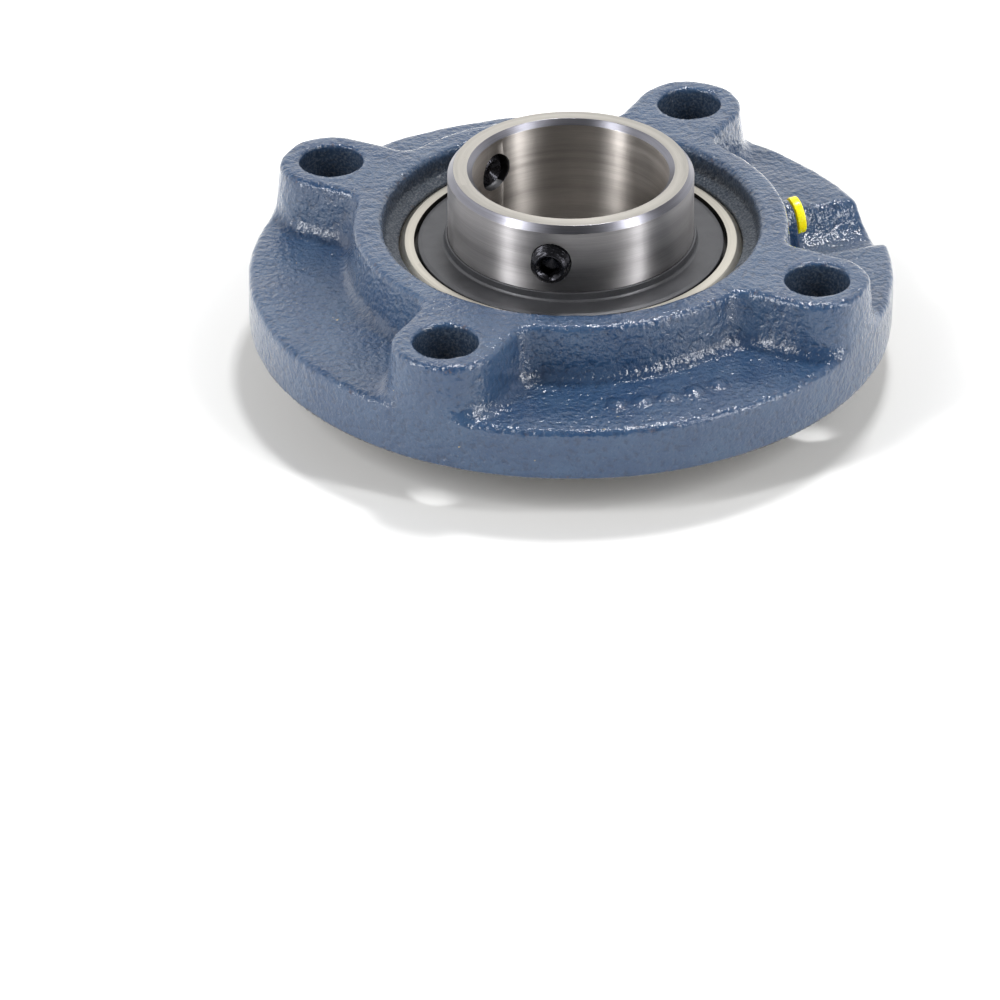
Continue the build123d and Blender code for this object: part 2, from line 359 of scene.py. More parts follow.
def node(tree, kind, inputs=None, **settings):
    """New shader node; inputs are numbers, colours or other nodes' outputs."""
    made = tree.nodes.new(kind)
    for setting, value in settings.items():
        setattr(made, setting, value)
    for socket, value in (inputs or {}).items():
        if isinstance(value, bpy.types.NodeSocket):
            tree.links.new(value, made.inputs[socket])
        else:
            made.inputs[socket].default_value = value
    return made


def maths(tree, operation, a, b=0.0, clamp=False):
    """Result of a maths node."""
    made = node(tree, "ShaderNodeMath", {0: a, 1: b}, operation=operation, use_clamp=clamp)
    return made.outputs[0]


def ramp(tree, value, low, high, start=0.0, end=1.0):
    """Value carried from low..high to start..end, smoothly and clamped."""
    made = node(
        tree,
        "ShaderNodeMapRange",
        {"Value": value, "From Min": low, "From Max": high, "To Min": start, "To Max": end},
        interpolation_type="SMOOTHSTEP",
    )
    return made.outputs["Result"]


def blend_colours(tree, share, first, second):
    """Colour between two, by a share from 0 to 1."""
    made = node(tree, "ShaderNodeMix", data_type="RGBA")
    for socket, value in ((0, share), (6, first), (7, second)):
        if isinstance(value, bpy.types.NodeSocket):
            tree.links.new(value, made.inputs[socket])
        else:
            made.inputs[socket].default_value = value
    return made.outputs[2]


def object_place(tree, stretch=(1.0, 1.0, 1.0)):
    """Place in the part's frame, in millimetres, with an optional stretch."""
    place = node(tree, "ShaderNodeTexCoord").outputs["Object"]
    scale = tuple(MM * factor for factor in stretch)
    return node(tree, "ShaderNodeMapping", {"Vector": place, "Scale": scale}).outputs[0]


def speckle(tree, place, size, detail=2.0, roughness=0.5):
    """Noise with bumps of about size, in millimetres."""
    made = node(
        tree,
        "ShaderNodeTexNoise",
        {"Vector": place, "Scale": 1 / size, "Detail": detail, "Roughness": roughness},
    )
    return made.outputs["Fac"]


def lathe_place(tree, spread=0.0):
    """Coordinates (radius, height, spread x angle) round Z, for turned and ground finishes."""
    parts = node(tree, "ShaderNodeSeparateXYZ", {"Vector": object_place(tree)}).outputs
    radius = maths(tree, "SQRT", maths(
        tree, "ADD", maths(tree, "MULTIPLY", parts[0], parts[0]), maths(tree, "MULTIPLY", parts[1], parts[1])
    ))
    angle = maths(tree, "MULTIPLY", maths(tree, "ARCTAN2", parts[1], parts[0]), spread)
    return node(tree, "ShaderNodeCombineXYZ", {0: radius, 1: parts[2], 2: angle}).outputs[0]


def bump(tree, height, distance, strength=1.0, normal=None):
    """Normal pushed about by a height, with the bump's size in millimetres."""
    inputs = {"Height": height, "Distance": distance / MM, "Strength": strength}
    if normal is not None:
        inputs["Normal"] = normal
    return node(tree, "ShaderNodeBump", inputs).outputs[0]


def attribute(tree, name):
    """Value kept on a mesh's points."""
    return node(tree, "ShaderNodeAttribute", attribute_name=name).outputs["Fac"]


def enamel():
    """Blue-grey enamel over a rough casting, worn at its edges and bare on machined faces, with painted shade
    darkening its creases and the hollows of its pebbled skin.
    """
    made, tree, shader = new_material(
        "blue_enamel", Coat_Weight=1.0, Coat_Roughness=0.07, Coat_IOR=1.5, Specular_IOR_Level=0.25
    )
    place = object_place(tree)
    bend = attribute(tree, "bend")
    machined = attribute(tree, "machined")
    inside = attribute(tree, "inside")
    cloudy = speckle(tree, place, 11.0, 4.0, 0.6)
    pebbles = speckle(tree, place, 1.5, 2.5, 0.5)
    grain = speckle(tree, place, 0.6, 3.0, 0.55)

    paint = blend_colours(
        tree, ramp(tree, cloudy, 0.3, 0.7), (0.012, 0.040, 0.100, 1), (0.022, 0.056, 0.120, 1)
    )
    # Painted shade: the paint is darkened where the pebble noise that also raises the bump is low, in the hollows
    # of the pebbled skin.
    pebble_shaded = blend_colours(tree, ramp(tree, pebbles, 0.47, 0.32, 0.0, 0.5), paint, (0.006, 0.020, 0.052, 1))
    dusty = blend_colours(tree, ramp(tree, grain, 0.55, 0.80, 0.0, 0.35), pebble_shaded, (0.075, 0.11, 0.16, 1))
    # Painted shade: the paint is darkened in concave creases and fillets, where the bend is below zero.
    crease_shaded = blend_colours(tree, ramp(tree, bend, -0.02, -0.9, 0.0, 0.6), dusty, (0.005, 0.016, 0.050, 1))
    thin = blend_colours(
        tree, ramp(tree, grain, 0.42, 0.66), (0.016, 0.027, 0.046, 1), (0.080, 0.094, 0.114, 1)
    )
    dulled = blend_colours(tree, inside, crease_shaded, thin)
    edge = ramp(tree, bend, 0.12, 0.7)
    chips = maths(tree, "MULTIPLY", edge, ramp(tree, speckle(tree, place, 2.6, 6.0, 0.75), 0.57, 0.68))
    worn = blend_colours(tree, maths(tree, "MULTIPLY", chips, 0.5), dulled, (0.115, 0.075, 0.055, 1))
    specks = ramp(tree, speckle(tree, place, 1.6, 3.0, 0.5), 0.70, 0.73)
    patches = ramp(tree, speckle(tree, place, 9.0, 2.0, 0.5), 0.60, 0.66, 0.0, 0.7)
    rare = maths(tree, "MULTIPLY", specks, patches)
    worn = blend_colours(tree, rare, worn, (0.33, 0.27, 0.13, 1))
    bare = blend_colours(tree, grain, (0.20, 0.19, 0.18, 1), (0.34, 0.32, 0.30, 1))
    colour = blend_colours(tree, machined, worn, bare)
    tree.links.new(colour, shader.inputs["Base Color"])
    tree.links.new(machined, shader.inputs["Metallic"])

    dull = maths(tree, "MAXIMUM", chips, maths(tree, "MULTIPLY", inside, 0.6))
    rough = ramp(tree, cloudy, 0.3, 0.7, 0.38, 0.5)
    tree.links.new(maths(tree, "ADD", rough, maths(tree, "MULTIPLY", dull, 0.3)), shader.inputs["Roughness"])
    gloss = maths(tree, "SUBTRACT", 1.0, maths(tree, "MAXIMUM", dull, machined), True)
    tree.links.new(gloss, shader.inputs["Coat Weight"])
    coated = maths(tree, "SUBTRACT", 1.0, maths(tree, "MULTIPLY", machined, 0.94), True)
    peel = bump(tree, pebbles, 0.5, coated)
    peel = bump(tree, grain, 0.08, coated, peel)
    tree.links.new(peel, shader.inputs["Normal"])
    tree.links.new(peel, shader.inputs["Coat Normal"])
    return made


def turned_steel(name, colour, rough, groove, depth, anisotropic=0.6, stains=0.3):
    """Turned or ground steel with fine marks running round the axis, and a few faint stains."""
    made, tree, shader = new_material(
        name, Metallic=1.0, Anisotropic=anisotropic, Anisotropic_Rotation=0.25
    )
    place = object_place(tree)
    around = lathe_place(tree, 0.5)
    lines = speckle(tree, around, groove, 3.0, 0.65)
    bands = speckle(tree, around, groove * 14, 2.0, 0.5)
    smudge = speckle(tree, place, 14.0, 3.0, 0.5)
    marks = speckle(tree, place, 2.6, 5.0, 0.65)
    darker = tuple(channel * 0.8 for channel in colour) + (1,)
    lighter = tuple(min(1.0, channel * 1.1) for channel in colour) + (1,)
    shade = maths(tree, "ADD", maths(tree, "MULTIPLY", lines, 0.5), maths(tree, "MULTIPLY", bands, 0.5))
    mixed = blend_colours(tree, ramp(tree, shade, 0.3, 0.7), darker, lighter)
    oily = tuple(channel * factor for channel, factor in zip(colour, (0.52, 0.46, 0.42))) + (1,)
    stain = maths(tree, "MULTIPLY", ramp(tree, marks, 0.62, 0.74), ramp(tree, smudge, 0.45, 0.7, 0.2, 1.0))
    mixed = blend_colours(tree, maths(tree, "MULTIPLY", stain, stains), mixed, oily)
    tree.links.new(mixed, shader.inputs["Base Color"])
    worn = maths(tree, "ADD", maths(tree, "MULTIPLY", smudge, 0.5), maths(tree, "MULTIPLY", shade, 0.5))
    tree.links.new(ramp(tree, worn, 0.3, 0.7, rough * 0.85, rough * 1.2), shader.inputs["Roughness"])
    tree.links.new(bump(tree, lines, depth), shader.inputs["Normal"])
    tangent = node(tree, "ShaderNodeTangent", direction_type="RADIAL", axis="Z").outputs[0]
    tree.links.new(tangent, shader.inputs["Tangent"])
    return made


def plain_metal(name, colour, rough, metallic=1.0, size=0.8, depth=0.01, variation=0.25):
    """Metal with a fine cast or phosphated grain and slight changes of shade."""
    made, tree, shader = new_material(name, Metallic=metallic)
    place = object_place(tree)
    grain = speckle(tree, place, size, 4.0, 0.6)
    broad = speckle(tree, place, size * 12, 3.0, 0.5)
    darker = tuple(channel * (1 - variation) for channel in colour) + (1,)
    lighter = tuple(min(1.0, channel * (1 + variation)) for channel in colour) + (1,)
    share = maths(tree, "ADD", maths(tree, "MULTIPLY", grain, 0.5), maths(tree, "MULTIPLY", broad, 0.5))
    mixed = blend_colours(tree, ramp(tree, share, 0.35, 0.65), darker, lighter)
    tree.links.new(mixed, shader.inputs["Base Color"])
    tree.links.new(ramp(tree, grain, 0.3, 0.7, rough * 0.8, rough * 1.25), shader.inputs["Roughness"])
    tree.links.new(bump(tree, grain, depth), shader.inputs["Normal"])
    return made


def moulded(name, colour, rough, depth=0.012, subsurface=0.0, glow=0.0):
    """Moulded plastic or rubber with a faint skin; glow is painted light, an emission that makes the part shine
    though it is no lamp.
    """
    made, tree, shader = new_material(
        name, Subsurface_Weight=subsurface, Subsurface_Scale=0.001,
        Emission_Color=tuple(colour) + (1,), Emission_Strength=glow
    )
    place = object_place(tree)
    skin_grain = speckle(tree, place, 0.5, 3.0, 0.5)
    broad = speckle(tree, place, 3.0, 2.0, 0.5)
    darker = tuple(channel * 0.86 for channel in colour) + (1,)
    mixed = blend_colours(tree, ramp(tree, broad, 0.3, 0.7), darker, tuple(colour) + (1,))
    tree.links.new(mixed, shader.inputs["Base Color"])
    tree.links.new(ramp(tree, skin_grain, 0.3, 0.7, rough * 0.85, rough * 1.15), shader.inputs["Roughness"])
    tree.links.new(bump(tree, skin_grain, depth), shader.inputs["Normal"])
    return made


# ---------------------------------------------------------------- housing
# Plain raised dots on the flange, as a foundry's date marks: azimuth, radius, dome size, height.
dot_count = 5
dot_spacing = 5.6
dot_start_azimuth = -99.0
cast_marks = [(dot_start_azimuth + number * dot_spacing, 69.5, 3.2, 1.0) for number in range(dot_count)]

voxel_size = 0.85
casting_waves = ((7.0, 0.30, 3), (2.4, 0.16, 5))  # bump size, depth, seed


def make_housing():
    """The casting: the CAD solid remeshed evenly, then settled onto the field with all its fillets."""
    source = frame["nodes"]["housing"]
    piece = bpy.data.objects.new("housing_casting", source.data.copy())
    bpy.context.scene.collection.objects.link(piece)
    remesh = piece.modifiers.new("remesh", "REMESH")
    remesh.mode = "VOXEL"
    remesh.voxel_size = voxel_size / MM
    apply_modifiers(piece)
    mesh = piece.data
    count = len(mesh.vertices)
    points = np.empty(count * 3)
    mesh.vertices.foreach_get("co", points)
    points = points.reshape(-1, 3) * MM
    edges = np.empty(len(mesh.edges) * 2, int)
    mesh.edges.foreach_get("vertices", edges)
    first, second = edges.reshape(-1, 2).T
    neighbours = np.bincount(first, minlength=count) + np.bincount(second, minlength=count)

    points = settle(points, housing_field, 4)
    for _ in range(4):
        total = np.stack(
            [
                np.bincount(first, points[second, axis], count)
                + np.bincount(second, points[first, axis], count)
                for axis in range(3)
            ],
            axis=1,
        )
        points = points + 0.5 * (total / neighbours[:, None] - points)
        points = settle(points, housing_field, 2)

    # Rough cast skin everywhere except on the machined seat, spigot and mounting face.
    x, y, z = points.T
    r = np.hypot(x, y)
    on_seat = (np.abs(np.hypot(r, z - centre_z) - seat_radius) < 0.12) & (z < ledge_z - 1.2)
    on_back = (z < 0.12) & (r > cavity_radius + 0.5)
    machined = (on_seat | on_back).astype(float)
    inside = np.clip((opening_radius + 1.0 - r) / 0.8, 0, 1)
    for number in range(bolt_count):
        angle = radians(bolt_start_angle + number * 360 / bolt_count)
        hole_x, hole_y = bolt_circle_radius * cos(angle), bolt_circle_radius * sin(angle)
        from_wall = bolt_hole_radius + 0.8 - np.hypot(x - hole_x, y - hole_y)
        inside = np.maximum(inside, np.clip(from_wall, 0, 0.7))
    inside = inside * np.clip((top_z - 0.6 - z) / 1.2, 0, 1)
    bend = np.clip(bend_of(housing_field, points, 1.2), -1, 1)
    outward = field_gradient(housing_field, points)
    depth = sum(size * lattice_noise(points, wave, seed) for wave, size, seed in casting_waves)
    points = points - outward * (depth * (1 - machined))[:, None]
    mesh.vertices.foreach_set("co", (points / MM).ravel())
    for name, values in (("machined", machined), ("inside", inside), ("bend", bend)):
        mesh.attributes.new(name, "FLOAT", "POINT").data.foreach_set("value", values)
    mesh.update()
    mesh.shade_smooth()
    return piece


# ---------------------------------------------------------------- rings
race_radius = 6.6
race_room = 0.05
outer_shoulder_radius = 38.8
inner_shoulder_angle = 53.8
outer_shoulder_angle = 52.7


def make_inner_ring():
    """Wide inner ring: ground end face, turned collar, honed bore and two tapped holes."""
    chamfer_radial, chamfer_axial, bore_chamfer, rear_chamfer = 1.4, 1.8, 1.33, 0.8
    race_centre = ball_circle_radius - ball_radius - race_room + race_radius
    groove = arc(race_centre, centre_z, race_radius, 180 + inner_shoulder_angle, 180 - inner_shoulder_angle)
    outline = rounded([
        (collar_radius, front_z - chamfer_axial, 0.25),
        (collar_radius - chamfer_radial, front_z, 0.18),
        (bore_radius + bore_chamfer, front_z, 0.18),
        (bore_radius, front_z - bore_chamfer, 0.25),
        (bore_radius, rear_z + bore_chamfer, 0.25),
        (bore_radius + bore_chamfer, rear_z, 0.18),
        (collar_radius - rear_chamfer, rear_z, 0.18),
        (collar_radius, rear_z + rear_chamfer, 0.25),
        *groove,
    ])
    piece = lathe("inner_ring_steel", outline, 288)
    drill(piece, [screw_hole(number) for number in (1, 2)])
    even_normals(piece)
    return piece


def finish_by_place(ring):
    """Give each face of the inner ring the finish of the surface that it lies on; its chamfers and tapped holes
    get darker copies of the steel as painted shade.
    """
    finishes = (collar_steel, face_steel, bore_steel, shaded_chamfer_steel, shaded_tapped_steel)
    for finish in finishes:
        ring.data.materials.append(finish)
    screw_low, screw_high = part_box("set_screw_1")
    for face in ring.data.polygons:
        radius = face.center.xy.length * MM
        outward = (face.normal.x * face.center.x + face.normal.y * face.center.y) * MM / radius
        beside_screw = screw_low.z - 0.0003 < face.center.z < screw_high.z + 0.0003
        if beside_screw and bore_radius + 0.05 < radius < collar_radius - 0.05 and abs(outward) < 0.9:
            face.material_index = 4
        elif abs(face.normal.z) > 0.97:
            face.material_index = 1
        elif abs(face.normal.z) > 0.3 and abs(radius - ball_circle_radius) > 4.0:
            face.material_index = 3
        elif radius < bore_radius + 0.5 and outward < 0:
            face.material_index = 2


def finish_mouth(ring):
    """Give the outer ring's seal seats and mouths a near-black steel, painted shade for the narrow gaps beside the
    seals, and its other faces a ground one.
    """
    for finish in (ring_steel, gap_shade_steel):
        ring.data.materials.append(finish)
    for face in ring.data.polygons:
        if abs(face.normal.z) < 0.8 and face.center.xy.length * MM < 40.6:
            face.material_index = 1


def screw_frame(number):
    """Matrix that carries +Z to a set screw's outward direction, in the part's frame."""
    direction = Vector(joints[f"set_screw_{number}_travel"]["axis"])
    low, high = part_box(f"set_screw_{number}")
    height = (low.z + high.z) / 2 * MM
    turn = direction.to_track_quat("Z", "X").to_matrix().to_4x4()
    return Matrix.Translation((0, 0, height / MM)) @ turn


screw_radius = 5.0
screw_pitch = 1.25
screw_thread_depth = 0.70
screw_inner_end = 25.6
screw_outer_end = 34.5
screw_end_chamfer = 1.2
hex_half = 2.5
hex_depth = 4.5
countersink = 0.3


def ring_at(height, radius, count, twist=0.0):
    """Ring of points about Z; radius may be one number or one for each point."""
    turns = np.linspace(0, 2 * pi, count, endpoint=False) + twist
    radii = np.broadcast_to(radius, count)
    return np.stack([radii * np.cos(turns), radii * np.sin(turns), np.full(count, height)], axis=1)


def screw_hole(number):
    """Cutter for a tapped hole through the collar, flared where it breaks the surface."""
    flare = screw_radius + countersink
    rings = [
        ring_at(bore_radius - 4, flare, 96),
        ring_at(bore_radius - 0.5, flare, 96),
        ring_at(bore_radius - 0.5 + countersink, screw_radius, 96),
        ring_at(collar_radius - 0.25 - countersink, screw_radius, 96),
        ring_at(collar_radius - 0.25, flare, 96),
        ring_at(collar_radius + 4, flare, 96),
    ]
    cutter = skin(f"screw_hole_{number}", rings)
    cutter.matrix_world = screw_frame(number)
    bpy.context.view_layer.update()
    return cutter


def thread_radius(height, turns, outer, pitch, depth):
    """Radius of a 60 degree external thread at a height and a turn angle."""
    phase = (height / pitch - turns / (2 * pi)) % 1.0
    return outer - depth * np.clip(np.abs(phase - 0.5) * 2.6 - 0.18, 0, 1)


def make_set_screw(number):
    """Black set screw: threaded, with a hexagon socket outside and a knurled cup point inside."""
    count = 120
    turns = np.linspace(0, 2 * pi, count, endpoint=False)
    outer = screw_radius - 0.06
    sixth = (turns % (pi / 3)) - pi / 6
    hexagon = hex_half / np.cos(sixth)
    knurl = 0.16 * np.abs(np.sin(turns * 15))
    cup_edge, cup_floor, cup_depth = 3.1, 1.0, 1.5
    rings = [
        ring_at(screw_inner_end + cup_depth, 0.05, count),
        ring_at(screw_inner_end + cup_depth, cup_floor, count),
        ring_at(screw_inner_end + 0.18, cup_edge - 0.30, count),
        ring_at(screw_inner_end, cup_edge - knurl, count),
        ring_at(screw_inner_end + 0.12, cup_edge + 0.30 - knurl, count),
        ring_at(screw_inner_end + 0.75, cup_edge + 1.0 - knurl * 0.5, count),
    ]
    start = screw_inner_end + 0.9
    for height in np.arange(start, screw_outer_end - 0.05, screw_pitch / 14):
        thread = thread_radius(height, turns, outer, screw_pitch, screw_thread_depth)
        taper = outer - screw_end_chamfer + (screw_outer_end - height)
        lead = cup_edge + 1.1 + (height - start) * 0.9
        rings.append(ring_at(height, np.minimum(np.minimum(thread, taper), lead), count))
    face = outer - screw_end_chamfer
    mouth = np.maximum(hexagon, 3.3)
    rings += [
        ring_at(screw_outer_end, face - 0.10, count),
        ring_at(screw_outer_end, mouth + 0.10, count),
        ring_at(screw_outer_end - 0.10, mouth, count),
        ring_at(screw_outer_end - 0.60, np.maximum(hexagon, 2.8), count),
        ring_at(screw_outer_end - 0.95, hexagon, count),
        ring_at(screw_outer_end - hex_depth, hexagon, count),
        ring_at(screw_outer_end - hex_depth, hex_half * 0.96, count),
        ring_at(screw_outer_end - hex_depth - 1.1, 0.05, count),
    ]
    piece = skin(f"set_screw_{number}_black", rings, smooth_angle=32)
    piece.data.transform(screw_frame(number))
    return piece


def make_outer_ring():
    """Outer ring: ground faces, grooves for the seals, raceway, and grease holes in their groove."""
    seal_seat_radius = core_high.x
    mouth_radius = 39.9
    seat_from, seat_to = core_low.z, core_high.z
    face_radius = 42.27
    edge_z = outer_high.z - 1.1
    sphere_radius = outer_high.x
    race_centre = ball_circle_radius + ball_radius + race_room - race_radius
    groove_z, groove_width, groove_depth = 16.0, 2.4, 0.6
    latitude = [np.degrees(np.arcsin((z - centre_z) / sphere_radius)) for z in
                (groove_z - groove_width / 2, groove_z + groove_width / 2, edge_z)]
    front = [
        (seal_seat_radius, seat_from, 0.1),
        (seal_seat_radius, seat_to, 0.1),
        (mouth_radius, seat_to, 0.15),
        (mouth_radius, outer_high.z, 0.15),
        (face_radius, outer_high.z, 0.35),
    ]
    rear = [(r, 2 * centre_z - z, rounding) for r, z, rounding in reversed(front)]
    floor = sphere_radius * cos(radians(latitude[0])) - groove_depth
    outline = rounded([
        (outer_shoulder_radius, seat_from, 0.1),
        *front,
        *reversed(arc(0, centre_z, sphere_radius, latitude[1], latitude[2], 6)),
        (floor, groove_z + groove_width / 2, 0.1),
        (floor, groove_z - groove_width / 2, 0.1),
        *reversed(arc(0, centre_z, sphere_radius, -latitude[2], latitude[0], 28)),
        *rear,
        (outer_shoulder_radius, 2 * centre_z - seat_from, 0.1),
        *arc(race_centre, centre_z, race_radius, -outer_shoulder_angle, outer_shoulder_angle),
    ])
    piece = lathe("outer_ring_steel", outline, 288)
    cutters = []
    for azimuth in (0, 120, 240):
        hole = skin("grease_hole", [ring_at(height, 0.7, 24) for height in (37, 47)])
        turn = Matrix.Rotation(radians(azimuth), 4, "Z") @ Matrix.Rotation(radians(90), 4, "Y")
        hole.matrix_world = Matrix.Translation((0, 0, groove_z / MM)) @ turn
        cutters.append(hole)
    bpy.context.view_layer.update()
    drill(piece, cutters)
    even_normals(piece)
    return piece


def slinger_outline():
    """Pressed slinger: flat disc with a turned-down edge and a sleeve along the collar."""
    inner, outer = collar_radius, slinger_high.x
    bottom, top = slinger_low.z, slinger_high.z
    thickness = 1.0
    sleeve = 32.0
    return rounded([
        (inner, bottom, 0.3),
        (outer - 1.6, bottom, 0.3),
        (outer - 1.3, bottom + 0.1, 0.2),
        (outer, bottom + 0.1, 0.2),
        (outer, bottom + thickness - 0.25, 0.3),
        (outer - 1.1, bottom + thickness, 0.6),
        (sleeve + 0.55, bottom + thickness, 0.5),
        (sleeve, bottom + thickness + 0.55, 0.4),
        (sleeve, top, 0.25),
        (inner, top, 0.2),
    ])


def core_outline():
    """Pressed seal core: disc with a shallow step and a rim turned up in its seat."""
    inner, outer = 33.6, core_high.x
    bottom, top = core_low.z, core_high.z
    thickness = 0.8
    return rounded([
        (inner, bottom, 0.1),
        (outer, bottom, 0.3),
        (outer, top, 0.2),
        (outer - thickness, top, 0.2),
        (outer - thickness, bottom + thickness, 0.3),
        (inner, bottom + thickness, 0.1),
    ])


def lip_outline():
    """Rubber lip wrapped over the core's inner edge, tapering to the inner ring."""
    outer = lip_high.x
    throat = outer - 3.1
    bottom, top = lip_low.z, lip_high.z
    running = collar_radius + 0.06
    return rounded([
        (running, bottom + 0.35, 0.1),
        (throat, bottom, 0.2),
        (33.6, bottom, 0.05),
        (33.6, bottom + 0.8, 0.05),
        (outer, bottom + 0.8, 0.1),
        (outer, top, 0.25),
        (throat, top, 0.25),
        (running, bottom + 0.8, 0.1),
    ])


def make_plug():
    """Yellow transport plug: thick round head with a shallow dimple, and a ribbed stem."""
    head_radius, head_thickness = 4.8, 2.2
    stem_radius, stem_length = 2.95, 7.0
    count = 96
    outline = rounded([
        (0.02, head_thickness - 0.35, 0),
        (1.9, head_thickness - 0.35, 0.3),
        (2.5, head_thickness, 0.4),
        (head_radius, head_thickness, 0.3),
        (head_radius, 0, 0.2),
        (stem_radius - 0.25, 0, 0.1),
        *[
            corner
            for rib in range(4)
            for corner in (
                (stem_radius - 0.25, -0.9 - rib * 1.3, 0.1),
                (stem_radius, -1.2 - rib * 1.3, 0.1),
                (stem_radius, -1.6 - rib * 1.3, 0.1),
                (stem_radius - 0.25, -1.9 - rib * 1.3, 0.1),
            )
        ],
        (stem_radius - 0.5, -stem_length, 0.3),
        (0.02, -stem_length, 0),
    ])
    piece = skin("grease_plug_yellow", [ring_at(z, r, count) for r, z in outline])
    turn = port_direction.to_track_quat("Z", "Y").to_matrix().to_4x4()
    piece.data.transform(Matrix.Translation(port_face / MM) @ turn)
    return piece


def make_ball(number):
    """Polished ball in its place on the ball circle."""
    outline = [
        (max(ball_radius * cos(a), 0.01), ball_radius * sin(a)) for a in np.linspace(-pi / 2, pi / 2, 41)
    ]
    piece = skin(f"ball_{number:02d}_polished", [ring_at(z, r, 64) for r, z in outline])
    low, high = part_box(f"ball_{number:02d}")
    piece.data.transform(Matrix.Translation((low + high) / 2))
    return piece


# ---------------------------------------------------------------- the object
painted = enamel()
face_steel = turned_steel("ground_steel", (0.45, 0.43, 0.395), 0.42, 0.10, 0.004, 0.2)
collar_steel = turned_steel("turned_steel", (0.33, 0.32, 0.325), 0.40, 0.22, 0.005, 0.93)
bore_steel = turned_steel("honed_steel", (0.45, 0.42, 0.395), 0.46, 0.14, 0.003, 0.95, 0.15)
# Painted shade and painted reflection: the chamfers get a darker, faintly blue copy of the ring steel.
shaded_chamfer_steel = turned_steel("shaded_chamfer_steel", (0.22, 0.22, 0.25), 0.34, 0.14, 0.003, 0.4, 0.1)
ring_steel = turned_steel("outer_ring_steel_finish", (0.58, 0.55, 0.485), 0.40, 0.10, 0.003, 0.2)
# Painted shade: the walls of the tapped holes get a near-black copy of the ring steel, standing in for the shade
# inside the holes.
shaded_tapped_steel = turned_steel("shaded_tapped_steel", (0.09, 0.09, 0.095), 0.45, 0.14, 0.003, 0.0, 0.1)
# Painted shade: near-black steel for the outer ring's seal seats and mouths, where the narrow gaps beside the
# seals lie in shade.
gap_shade_steel = plain_metal("gap_shade_steel", (0.045, 0.043, 0.040), 0.5, 0.6)
black_oxide = plain_metal("black_oxide", (0.020, 0.020, 0.024), 0.24, 0.85, 0.4, 0.004)
phosphate = plain_metal("phosphated_steel", (0.068, 0.069, 0.075), 0.38, 0.4, 0.35, 0.003, 0.12)
pressed = plain_metal("pressed_steel", (0.50, 0.49, 0.46), 0.34, 1.0, 0.6, 0.006)
dark_core = plain_metal("dark_pressed_steel", (0.055, 0.054, 0.052), 0.42, 0.8, 0.6, 0.004)
polished = plain_metal("polished_steel", (0.80, 0.79, 0.78), 0.06, 1.0, 1.0, 0.0006, 0.03)
rubber = moulded("nitrile_rubber", (0.025, 0.025, 0.026), 0.55)
# Painted light: the yellow plug glows a little (emission 0.15) to brighten it.
yellow = moulded("yellow_plastic", (1.0, 0.88, 0.004), 0.28, 0.008, 0.3, 0.15)

settle_in(make_housing(), "housing", "housing_paint", painted, "housing")
settle_in(make_plug(), "grease_port_plug", "plug", yellow, "grease_port_plug")
ring = make_inner_ring()
ring.data.materials.clear()
finish_by_place(ring)
settle_in(ring, "inner_ring", "ring_steel", None, "inner_ring")
ring = make_outer_ring()
ring.data.materials.clear()
finish_mouth(ring)
settle_in(ring, "outer_ring", "ring_steel", None, "outer_ring")
for number in (1, 2):
    name = f"set_screw_{number}"
    settle_in(make_set_screw(number), name, "set_screw", black_oxide, name)
for number in range(1, 11):
    name = f"ball_{number:02d}"
    settle_in(make_ball(number), name, "ball_steel", polished, name)
for pattern, outline, body, slot, material in (
    ("slinger_{}", slinger_outline(), "inner_ring", "slinger", phosphate),
    ("seal_{}_core", core_outline(), "outer_ring", "seal_core", dark_core),
    ("seal_{}_lip", lip_outline(), "outer_ring", "seal_rubber", rubber),
):
    for side, section in (("front", outline), ("rear", mirrored(outline))):
        name = pattern.format(side)
        piece = lathe(name + "_finish", section)
        even_normals(piece)
        settle_in(piece, body, slot, material, name)
for name in ("cage_front", "cage_rear", "cage_rivets"):
    cage = frame["nodes"][name]
    cage.data.materials.clear()
    cage.data.materials.append(pressed)

# ---------------------------------------------------------------- floor, camera and lights
bpy.ops.mesh.primitive_plane_add(size=6, location=(0, 0, spigot_z / MM))
floor = bpy.context.object
floor.name = "floor"
paper, paper_tree, paper_shader = new_material(
    "pale_floor", Base_Color=(0.72, 0.72, 0.715, 1), Roughness=0.7, Emission_Color=(1, 1, 1, 1)
)
# Painted light: the floor's emission rises from nothing near the object to 0.55 further out, so the floor grows
# brighter away from the object and the lamps' shadows there are washed out.
floor_place = node(paper_tree, "ShaderNodeTexCoord").outputs["Object"]
spot = node(paper_tree, "ShaderNodeSeparateXYZ", {"Vector": floor_place})
squares = [maths(paper_tree, "MULTIPLY", spot.outputs[axis], spot.outputs[axis]) for axis in "XY"]
from_axis = maths(paper_tree, "SQRT", maths(paper_tree, "ADD", *squares))
painted_floor_light = ramp(paper_tree, from_axis, 0.088, 0.15, 0.0, 0.55)
paper_tree.links.new(painted_floor_light, paper_shader.inputs["Emission Strength"])
floor.data.materials.append(paper)

camera_azimuth, camera_elevation, camera_roll = radians(-17.823), radians(31.499), radians(-0.274)
camera_distance = 1.880894
camera_aim_right, camera_aim_up = -0.018333, -0.047716
camera_lens, camera_sensor = 264.24, 36.0


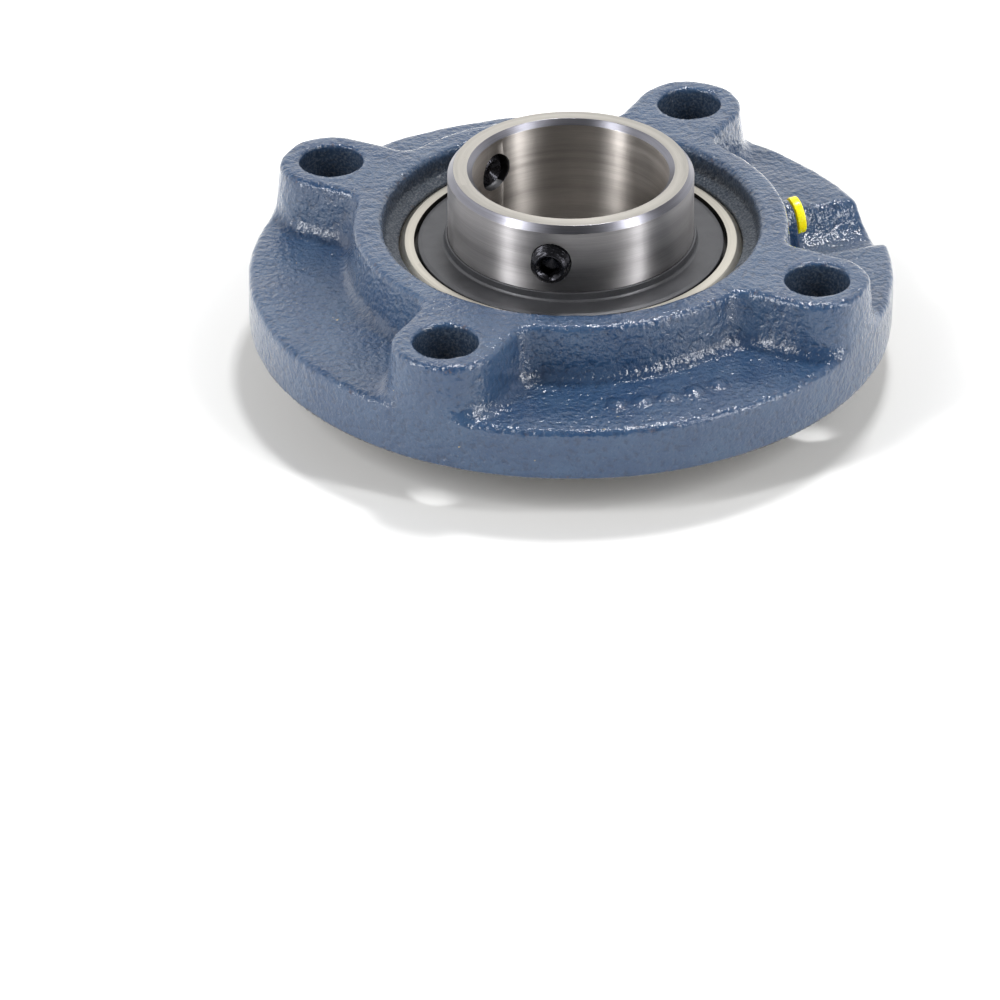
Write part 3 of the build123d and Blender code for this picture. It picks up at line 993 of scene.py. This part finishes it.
def place_camera():
    """Camera that looks along the given azimuth and elevation, rolled about its own axis."""
    back = Vector((
        sin(camera_azimuth) * cos(camera_elevation),
        -cos(camera_azimuth) * cos(camera_elevation),
        sin(camera_elevation),
    ))
    right = Vector((cos(camera_azimuth), sin(camera_azimuth), 0))
    up = back.cross(right)
    place = right * camera_aim_right + up * camera_aim_up + back * camera_distance
    rolled_right = right * cos(camera_roll) + up * sin(camera_roll)
    rolled_up = up * cos(camera_roll) - right * sin(camera_roll)
    data = bpy.data.cameras.new("camera")
    data.lens = camera_lens
    data.sensor_width = camera_sensor
    data.clip_end = 20
    made = bpy.data.objects.new("camera", data)
    bpy.context.scene.collection.objects.link(made)
    axes = Matrix((rolled_right, rolled_up, back)).transposed().to_4x4()
    made.matrix_world = Matrix.Translation(place) @ axes
    bpy.context.scene.camera = made


def add_softbox(name, place, width, height, power, aim=(0, 0, 0.01), colour=(1, 1, 1)):
    """Rectangular area light that faces the object."""
    data = bpy.data.lights.new(name, "AREA")
    data.shape = "RECTANGLE"
    data.size, data.size_y = width, height
    data.energy = power
    data.color = colour
    lamp = bpy.data.objects.new(name, data)
    bpy.context.scene.collection.objects.link(lamp)
    lamp.location = place
    lamp.rotation_euler = (Vector(aim) - Vector(place)).to_track_quat("-Z", "Y").to_euler()


place_camera()
for name, azimuth, elevation, distance, width, height, power in (
    ("left_softbox", -166, 30, 1.4, 0.15, 1.30, 17.5),
    ("right_softbox", -46, 30, 1.4, 0.13, 1.30, 17.0),
    ("back_lamp", 52, 71, 1.6, 0.24, 0.20, 14.0),
):
    reach = distance * cos(radians(elevation))
    lamp_z = distance * sin(radians(elevation))
    place = (reach * cos(radians(azimuth)), reach * sin(radians(azimuth)), lamp_z)
    add_softbox(name, place, width, height, power)

# A white backdrop behind the object, and a darker room above and in front of it.
world = bpy.data.worlds.new("surroundings")
bpy.context.scene.world = world
world.use_nodes = True
sky = world.node_tree
backdrop = sky.nodes["Background"]
backdrop.inputs[0].default_value = (1.0, 1.0, 1.0, 1)
sky_place = node(sky, "ShaderNodeTexCoord").outputs["Generated"]
heading = node(sky, "ShaderNodeSeparateXYZ", {"Vector": sky_place})
behind = ramp(sky, heading.outputs["Y"], -0.3, 0.4)
low = ramp(sky, heading.outputs["Z"], 0.85, 0.55)
glow = maths(sky, "MULTIPLY", maths(sky, "MULTIPLY", behind, low), 1.15)
sky.links.new(maths(sky, "ADD", glow, 0.12), backdrop.inputs["Strength"])
bpy.context.scene.view_settings.view_transform = "Standard"
